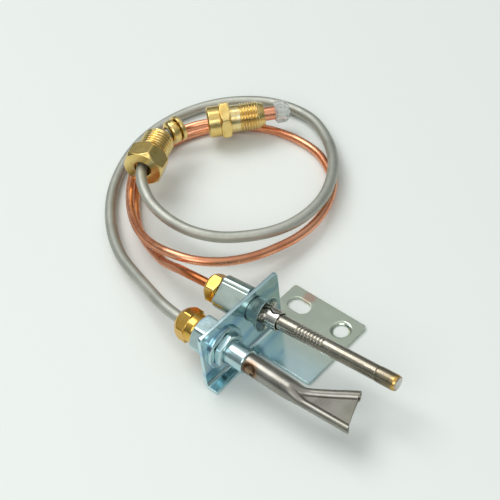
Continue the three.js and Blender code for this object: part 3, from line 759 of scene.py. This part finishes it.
def burner_disc():
    """The washer, against the plate and with only a hair's gap round the nose."""
    return turned([
        (-7.68, 3.2), (-7.68, 5.9), (-7.05, 5.9), (-6.8, 5.6), (-6.8, 3.2),
    ], 0.08)


def burner_locknut():
    hexagon = hex_part(-6.78, -4.9, 8.4, 0.35, 0.35)

    def column(angle):
        return eased([(-6.78, 3.2), *hexagon(angle), (-4.9, 3.4), (-5.05, 3.2)], 0.1, True)

    return polar(column, hex_angles(0.35))


def inlet_nut():
    """A domed hexagon with a plain turned front."""
    turn = 0.586

    def column(angle):
        flat = hex_radius(angle, 8.2, turn)
        lean = max(0, flat - 3.85) * 1.5
        return eased([
            (-21.8, 2.15), (-21.8, 3.1), (-21.35, 3.62), (-21.1 + lean, flat, 0.2),
            (-17.75, flat, 0.05), (-17.65, 4.08, 0.05), (-15.7, 4.02), (-15.2, 3.7),
            (-15.2, 3.15), (-14.1, 3.15), (-14.1, 1.99), (-21.65, 1.99),
        ], 0.12, True)

    return polar(column, hex_angles(turn))


def lerp(a, b, t):
    return a + (b - a) * t


def eased_step(t):
    """0 up to t = 0, 1 from t = 1, and a smooth rise between."""
    t = min(1, max(0, t))
    return t * t * (3 - 2 * t)


HOOD_START, HOOD_FORK = 0.72, 12.5  # the round tube's ends, along x
HOOD_LENGTH = 17.65  # the fan's, along x
HOOD_AIM = math.radians(22.3)  # the mouth's heading
MOUTH_DEPTH = 0.7  # how far the web is drawn back between the beads
HOOD_TUBE, HOOD_NECK = 2.6, 2.2  # radii of the tube and of its reduced end inside the nose
HOOD_WEB = 0.42  # half the thickness of the two pressed walls
ROUND = 0.02  # the beads' spread where the tube is still round
FOLDED_BEAD, MOUTH_BEAD, LOWER_BEAD = 1.3, 1.45, 0.82  # two radii, and the lower one's share
KINK, FAN_RUN, FAN_SLOPE = 4.1, 15.8, 0.66  # where and how steeply the upper bead fans out


def hood_section(x, y, heading, spread, beads, web, mouth=0.0):
    """Two round beads joined by a web, across a heading. mouth draws the web back."""
    points, per_bead = [], 30
    for side, bead in zip((1, -1), beads):
        wrap = math.pi - math.asin(min(1, web / bead))
        for i in range(per_bead):
            angle = wrap * (2 * i / (per_bead - 1) - 1)
            across = side * (spread / 2 + bead * math.cos(angle))
            up = side * bead * math.sin(angle)
            back = mouth * max(0, 1 - (2 * across / spread) ** 2) if spread > 1 else 0
            points.append((
                x - across * math.sin(heading) - back * math.cos(heading),
                y + across * math.cos(heading) - back * math.sin(heading),
                BURNER_Z + up,
            ))
    return points


def rod(start, end, radius, sides=40):
    """A round cutter between two points, in millimetres."""
    start, end = Vector(start), Vector(end)
    way = (end - start).normalized()
    side = way.orthogonal().normalized()
    up = way.cross(side)
    outline = [(side * math.cos(a) + up * math.sin(a)) * radius for a in round_angles(sides)]
    return loft([[centre + out for out in outline] for centre in (start, end)])


def cut(piece, cutters):
    """Cuts closed shapes out of a piece."""
    for points, faces in cutters:
        cutter = placed("cutter", closed_mesh("cutter", points, faces))
        modifier = piece.modifiers.new("cut", "BOOLEAN")
        modifier.operation, modifier.solver, modifier.object = "DIFFERENCE", "EXACT", cutter
        bpy.context.view_layer.update()
        seen = piece.evaluated_get(bpy.context.evaluated_depsgraph_get())
        result = bpy.data.meshes.new_from_object(seen)
        piece.modifiers.clear()
        piece.data = result
        bpy.data.objects.remove(cutter)
    piece.data.set_sharp_from_angle(angle=math.radians(32))


def hood_station(t):
    """The fan's section at t, 0 at the round tube's end and 1 at the mouth."""
    flat = eased_step((t - 0.08) / 0.3)
    heading = HOOD_AIM * min(1, 1.2 * t)
    bead = lerp(lerp(HOOD_TUBE, FOLDED_BEAD, flat), MOUTH_BEAD, t)
    slim = lerp(bead, LOWER_BEAD * bead, flat)
    past_kink = FAN_RUN * t - KINK
    fanned = FAN_SLOPE * (past_kink + math.sqrt(past_kink ** 2 + 0.6)) / 2
    upper = BURNER_Y + HOOD_TUBE + fanned - bead * (1 + 0.19 * flat)
    lower = BURNER_Y - HOOD_TUBE + 1.05 * t + slim
    return {
        "x": HOOD_FORK + HOOD_LENGTH * t, "y": (lower + upper) / 2, "heading": heading,
        "spread": max(ROUND, (upper - lower) / math.cos(heading)), "beads": (bead, slim),
        "web": lerp(HOOD_TUBE, HOOD_WEB, flat),
    }


def hood_sections():
    sections, straight, fan = [], 14, 60
    for k in range(straight):
        x = lerp(HOOD_START, HOOD_FORK, k / straight)
        beads = (HOOD_TUBE, HOOD_TUBE)
        sections.append(hood_section(x, BURNER_Y, 0, ROUND, beads, HOOD_TUBE))
    for i in range(fan + 1):
        t = i / fan
        mouth = MOUTH_DEPTH * max(0, (t - 0.8) / 0.2)
        sections.append(hood_section(**hood_station(t), mouth=mouth))
    return sections


def fishtail_hood():
    neck = [
        [(x, BURNER_Y + HOOD_NECK * math.cos(a), BURNER_Z + HOOD_NECK * math.sin(a))
         for a in round_angles(60)]
        for x in (-3, 1)
    ]
    return joined(loft(hood_sections()), loft(neck))


def bead_centre(place, side):
    """The centre of a section's upper bead, side 1, or of its lower one, side -1."""
    reach = side * place["spread"] / 2
    return Vector((
        place["x"] - reach * math.sin(place["heading"]),
        place["y"] + reach * math.cos(place["heading"]), BURNER_Z,
    ))


def hood_cutters():
    """The ports, bored into both beads from the mouth."""
    deepest, past_mouth = 0.42, 0.08  # as shares of the fan's and of the port's length
    cutters = []
    for side, radius in ((1, 0.98), (-1, 0.78)):
        mouth = bead_centre(hood_station(1), side)
        root = bead_centre(hood_station(deepest), side)
        cutters.append(rod(root, mouth + (mouth - root) * past_mouth, radius))
    return cutters


# ---- Thermocouple ----
SLEEVE = [
    (4.76, 1.68), (3.53, 3.53), (-3.53, 3.7), (-4.54, 2.24), (-4.76, -0.45), (-3.7, -3.36),
    (3.36, -3.7), (4.59, -1.79),
]
SLEEVE_TILT = math.radians(34)


def sleeve_radius(angle):
    """The flattened sleeve's outline, with soft corners and a seam along its upper side."""
    power = 26
    total = 0
    for (w0, t0), (w1, t1) in zip(SLEEVE, SLEEVE[1:] + SLEEVE[:1]):
        normal = np.array((-(t1 - t0), w1 - w0), float)
        normal /= np.linalg.norm(normal)
        distance = normal.dot((w0, t0))
        if distance < 0:
            normal, distance = -normal, -distance
        facing = math.atan2(normal[1], normal[0]) + SLEEVE_TILT
        closeness = math.cos(angle - facing) / distance
        total += max(0, closeness) ** power
    seam_at = math.atan2(3.2, 2.1) + SLEEVE_TILT
    seam_depth, seam_width = 0.1, 0.03
    off = (angle - seam_at + math.pi) % FULL - math.pi
    return total ** (-1 / power) - seam_depth * math.exp(-((off / seam_width) ** 2))


def thermocouple_holder():
    def column(angle):
        sleeve = sleeve_radius(angle)
        return eased([
            (-9.5, 2.6), (-9.5, 0.9 * sleeve), (-9.1, 0.96 * sleeve), (-1.05, sleeve),
            (-1.05, 3.3, 0.06), (0.7, 3.3), (1.8, 3.5), (2.8, 3.85), (3.7, 4.3),
            (4.45, 4.76, 0.06), (4.6, 4.8, 0.05), (4.6, 4.52, 0.05), (3.7, 4.05),
            (2.7, 3.5), (1.6, 2.45), (-9.35, 2.45),
        ], 0.2, True)

    return polar(column, round_angles(288))


def thermocouple_nut():
    hexagon = hex_part(-12.7, -9.56, 7.2, 0.3, 0.5)

    def column(angle):
        return eased([
            (-13.6, 1.75), (-13.6, 2.5), (-13.35, 3.1), (-12.85, 3.45), (-12.7, 3.5),
            *hexagon(angle)[1:], (-9.56, 2.05), (-8.3, 2.05), (-8.3, 1.6), (-13.45, 1.6),
        ], 0.16, True)

    return polar(column, hex_angles(0.3))


def lug(angle):
    """One of the clip's outward lugs: a short bent tab that narrows to its tip."""
    sections = [
        (4.2, 5.1, 0.95, 2.3), (4.22, 5.05, 0.9, 2.75), (4.28, 4.98, 0.84, 3.2),
        (4.35, 4.95, 0.75, 3.6), (4.4, 4.9, 0.6, 3.92),
    ]
    c, s = math.cos(angle), math.sin(angle)
    return loft([
        [(x, y * c - height * s, y * s + height * c)
         for x, y in ((start, -half), (end, -half), (end, half), (start, half))]
        for start, end, half, height in sections
    ])


def retaining_clip():
    """A band split along its top by a stepped gap, with three lugs."""
    rear, front, inner, outer, steps = 2.9, 8.6, 2.25, 2.6, 24
    half_gap, step_size, step_length = 0.28, 0.35, 3.2
    along = [rear + (front - rear) * k / steps for k in range(1, steps)]
    line = [(rear, inner), (rear, outer), *((x, outer) for x in along)]
    line += [(front, outer), (front, inner), *((x, inner) for x in reversed(along))]
    columns, sections = 90, []
    for j in range(columns + 1):
        section = []
        for x, r in line:
            step = step_size * math.sin(FULL * (x - rear) / step_length)
            start, end = (half_gap + step) / r, FULL - (half_gap - step) / r
            angle = QUARTER + lerp(start, end, j / columns)
            section.append((x, r * math.cos(angle), r * math.sin(angle)))
        sections.append(section)
    lugs = [lug(math.radians(degrees)) for degrees in (50, 160, 290)]
    return joined(loft(sections), *lugs)


def probe_sheath():
    """A thin tube with a row of crimp rings."""
    crimps, first, pitch = 9, 14.2, 0.93
    outline = [(-5.8, 1.35), (-5.8, 1.95)]
    for i in range(crimps):
        start = first + i * pitch
        outline += [(start, 1.97), (start + 0.14, 1.74), (start + 0.3, 1.74), (start + 0.46, 1.97)]
    outline += [(37.15, 1.95), (37.3, 1.85), (37.3, 1.35)]
    return turned(outline, 0.1)


def probe_tip():
    """The hot end's cap, pressed flush against the sheath, with a shallow recess in its end."""
    return turned([
        (37.33, 0), (37.33, 1.97), (37.9, 2.03), (38.6, 2.05), (42.35, 2.05, 0.2),
        (42.8, 1.93, 0.12), (43, 1.82, 0.05), (42.95, 1.74, 0.05), (42.5, 1.72), (42.5, 0),
    ], 0.12)


def tip_button():
    return turned([(42.7, 0), (42.7, 1.68), (42.98, 1.68), (43.12, 1.5, 0.1), (43.15, 0)], 0.06)


# ---- Fittings on the gas tube's far end ----
def outlet_nut():
    turn = 0.9
    hexagon = hex_part(0, 5.8, 11.1, turn, 1.4)
    thread = thread_part(6.4, 13.4, 4.02, 4.55, 7)

    def column(angle):
        before = eased([
            (13.3, 3.5), (1.3, 3.5), (1.3, 2.5), (0.2, 2.5), (0, 2.7), *hexagon(angle),
            (5.8, 4.02, 0.08), (6.39, 4.02),
        ], 0.16, False)
        after = eased([(13.41, 4.02), (13.65, 3.95), (13.8, 3.8), (13.8, 3.55)], 0.06, False)
        return [*before, *thread(angle), *after]

    return polar(column, hex_angles(turn))


def outlet_ferrule():
    return turned([
        (-2.8, 1.94), (-2.8, 2.7, 0.3), (-2.2, 3.45, 0.5), (-0.6, 3.6, 0.5), (0, 3.2), (0, 1.94),
    ], 0.16)


def outlet_ring():
    return turned([
        (0.3, 1.94), (0.3, 3.6), (0.55, 3.85), (1.35, 3.85), (1.6, 3.6), (1.6, 2.6),
        (1, 2.6), (1, 1.94),
    ], 0.12)


# ---- Connector on the lead's far end ----
def connector_nut():
    turn = 0.37
    hexagon = hex_part(3.9, 6.9, 10.3, turn, 0.7)
    thread = thread_part(9.65, 15.35, 3.82, 4.365, 7)

    def column(angle):
        before = eased([
            (16.9, 2.75), (9, 2.75), (9, 1.75), (0.2, 1.75), (0, 1.95), (0, 4.15), (0.5, 4.65),
            (3.75, 4.65), (3.9, 4.5, 0.05), *hexagon(angle), (6.9, 4.03, 0.06), (9.64, 4.03),
        ], 0.12, False)
        after = eased([(15.37, 3.82), (15.6, 3.78), (17, 3.2), (17, 2.85)], 0.08, False)
        return [*before, *thread(angle), *after]

    return polar(column, hex_angles(turn))


def lead_ferrule():
    return turned([
        (12, 1.55), (12, 2.1), (12.4, 2.4), (14.9, 2.4), (14.9, 0.9), (14.5, 0.9), (14.5, 1.55),
    ], 0.1)


def insulating_washer():
    return turned([(15.2, 0.9), (15.2, 2.3), (15.7, 2.3), (15.7, 0.9)], 0.08)


def contact_tip():
    return turned([
        (15.2, 0), (15.2, 0.6), (16, 0.6), (16, 2.05), (20.9, 2.05), (21.2, 1.75), (21.2, 0),
    ], 0.12)


def protective_cap():
    """A moulded cap with rounded ribs along it."""
    ribs = 16

    def column(angle):
        wave = 0.5 + 0.5 * math.cos(ribs * angle)
        radius = 2.98 + 0.3 * wave ** 2
        return eased([
            (24.8, 0), (24.8, 1.3, 0.6), (24.4, 2.3, 0.5), (23.3, radius, 0.6), (20.7, radius),
            (20.2, 2.7), (20.2, 2.35), (23.3, 2.35), (24.1, 1.3), (24.2, 0),
        ], 0.16, False)

    return polar(column, round_angles(ribs * 14))


# ---- Stage ----
def make_floor():
    size = 4.0
    mesh = bpy.data.meshes.new("floor")
    corners = [(-size, -size, 0), (size, -size, 0), (size, size, 0), (-size, size, 0)]
    mesh.from_pydata(corners, [], [(0, 1, 2, 3)])
    look = Look("floor_paint")
    color = look.mix(look.noise(0.004, detail=4), rgb(229, 234, 230), rgb(232, 237, 233))
    look.finish(color, 0.6, look.bump(look.noise(1.5, detail=4), 0.02, 0.02))
    mesh.materials.append(look.material)
    floor = placed("floor", mesh)


def make_light(name, position, target, size, power):
    data = bpy.data.lights.new(name, "AREA")
    data.shape = "RECTANGLE"
    data.size, data.size_y = size
    data.energy = power
    light = placed(name, data)
    light.location = position
    light.rotation_mode = "QUATERNION"
    way = Vector(target) - Vector(position)
    light.rotation_quaternion = way.to_track_quat("-Z", "Y")


def make_world():
    """A pale room that is brighter overhead and darker towards the horizon."""
    world = bpy.data.worlds.new("studio")
    world.use_nodes = True
    bpy.context.scene.world = world
    tree = world.node_tree
    direction = tree.nodes.new("ShaderNodeTexCoord").outputs["Generated"]
    split = tree.nodes.new("ShaderNodeSeparateXYZ")
    tree.links.new(direction, split.inputs[0])
    ramp = tree.nodes.new("ShaderNodeValToRGB")
    stops = ramp.color_ramp.elements
    stops[0].position, stops[0].color = 0.0, (0.16, 0.18, 0.18, 1)
    stops[1].position, stops[1].color = 1.0, (1.0, 1.0, 0.98, 1)
    middle = stops.new(0.45)
    middle.color = (0.3, 0.33, 0.33, 1)
    high = stops.new(0.75)
    high.color = (0.62, 0.64, 0.63, 1)
    tree.links.new(split.outputs[2], ramp.inputs[0])
    background = tree.nodes["Background"]
    tree.links.new(ramp.outputs[0], background.inputs["Color"])
    background.inputs["Strength"].default_value = 0.9


def make_stage():
    make_floor()
    make_world()
    make_light("key", (-0.6, -0.02, 0.98), (-0.03, 0, 0), (0.72, 0.72), 5.3)
    make_light("fill", (0.3, -0.75, 0.7), (-0.03, 0, 0), (0.8, 0.6), 3.4)
    view = bpy.context.scene.view_settings
    view.view_transform = "Standard"
    view.look = "None"


# ---- Assembly ----
def build():
    """Makes every visible piece, gives the hidden ones their looks, and sets the stage."""
    make_camera()
    # The sheet's last colour is the painted reflection tint of its lying part, and band=0.5 makes
    # its painted reflection bands stronger.
    zinc_sheet = zinc("zinc_sheet", rgb(204, 228, 232), rgb(182, 212, 220), True, (0.1, 0.2),
                      band=0.5, lying_reflection_tint=rgb(196, 206, 190))
    zinc_round = zinc("zinc_turned", rgb(196, 218, 220), rgb(180, 206, 212), False, (0.18, 0.28))
    zinc_sleeve = zinc("zinc_sleeve", rgb(184, 198, 190), rgb(168, 186, 180), True, (0.24, 0.36))
    brass_look = brass("brass", rgb(234, 208, 140), rgb(224, 190, 112))
    golden = brass("brass_golden", rgb(224, 182, 94), rgb(210, 160, 72))
    steel = stainless()
    copper = drawn_metal(
        "copper", rgb(244, 178, 142), rgb(236, 156, 118), rgb(206, 120, 84), (0.24, 0.36),
        heated=rgb(192, 104, 54),
    )
    aluminium = drawn_metal(
        "aluminium", rgb(192, 193, 183), rgb(180, 182, 172), rgb(160, 161, 152), (0.52, 0.62),
    )
    turned_copper = drawn_metal(
        "copper_turned", rgb(240, 184, 152), rgb(232, 164, 130), rgb(212, 136, 104), (0.2, 0.3),
    )
    ceramic = dull("ceramic", rgb(236, 231, 216), rgb(222, 214, 196), 3.0)
    fibre = dull("fibre", rgb(176, 72, 58), rgb(150, 56, 46), 2.0)

    gas_tube, gas_path = make_tube(
        "pilot_tube", GAS_TUBE_ROUTE, GAS_TUBE, aluminium, "aluminium", bore=0.9,
    )
    lead, lead_path = make_tube("copper_lead", LEAD_ROUTE, LEAD, copper, "copper")

    show("bracket", *bracket(), WHOLE, zinc_sheet, "pilot", "zinc_steel")
    hood = show("fishtail_hood", *fishtail_hood(), WHOLE, hood_steel(), "pilot", "stainless")
    cut(hood, hood_cutters())
    show("burner_body", *burner_body(), BURNER, zinc_round, "pilot", "zinc_steel")
    show("burner_disc", *burner_disc(), BURNER, zinc_round, "pilot", "zinc_steel")
    show("burner_locknut", *burner_locknut(), BURNER, zinc_round, "pilot", "zinc_steel")
    show("inlet_nut", *inlet_nut(), BURNER, golden, "pilot", "brass")

    show("thermocouple_holder", *thermocouple_holder(), PROBE, zinc_sleeve, "pilot", "zinc_steel")
    show("thermocouple_nut", *thermocouple_nut(), PROBE, golden, "pilot", "brass")
    show("retaining_clip", *retaining_clip(), PROBE, steel, "pilot", "stainless")
    show("probe_sheath", *probe_sheath(), PROBE, probe_steel(), "pilot", "stainless")
    show("probe_tip", *probe_tip(), PROBE, heat_tinted(), "pilot", "heat_tint")
    show("tip_button", *tip_button(), PROBE, steel, "pilot", "stainless")

    outlet = [
        show("outlet_nut", *outlet_nut(), OUTLET, brass_look, "outlet_nut", "brass"),
        show("outlet_ferrule", *outlet_ferrule(), TUBE_END, brass_look, "outlet_ferrule", "brass"),
        show("outlet_ring", *outlet_ring(), TUBE_END, brass_look, "outlet_ferrule", "brass"),
    ]
    connector = [
        show("connector_nut", *connector_nut(), CONNECTOR, brass_look, "connector_nut", "brass"),
        show("lead_ferrule", *lead_ferrule(), CONNECTOR, turned_copper, "pilot", "copper"),
        show("insulating_washer", *insulating_washer(), CONNECTOR, fibre, "pilot", "fibre"),
        show("contact_tip", *contact_tip(), CONNECTOR, turned_copper, "pilot", "copper"),
        show("protective_cap", *protective_cap(), CONNECTOR, clear_plastic(), "protective_cap",
             "clear_plastic"),
    ]

    hidden = {
        "gas_orifice": brass_look, "inlet_ferrule": brass_look, "junction_bush": brass_look,
        "ceramic_sleeve": ceramic, "inner_conductor": turned_copper,
    }
    for name, look in hidden.items():
        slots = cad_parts[name].data.materials
        slots.clear()
        slots.append(look)

    make_stage()


build()
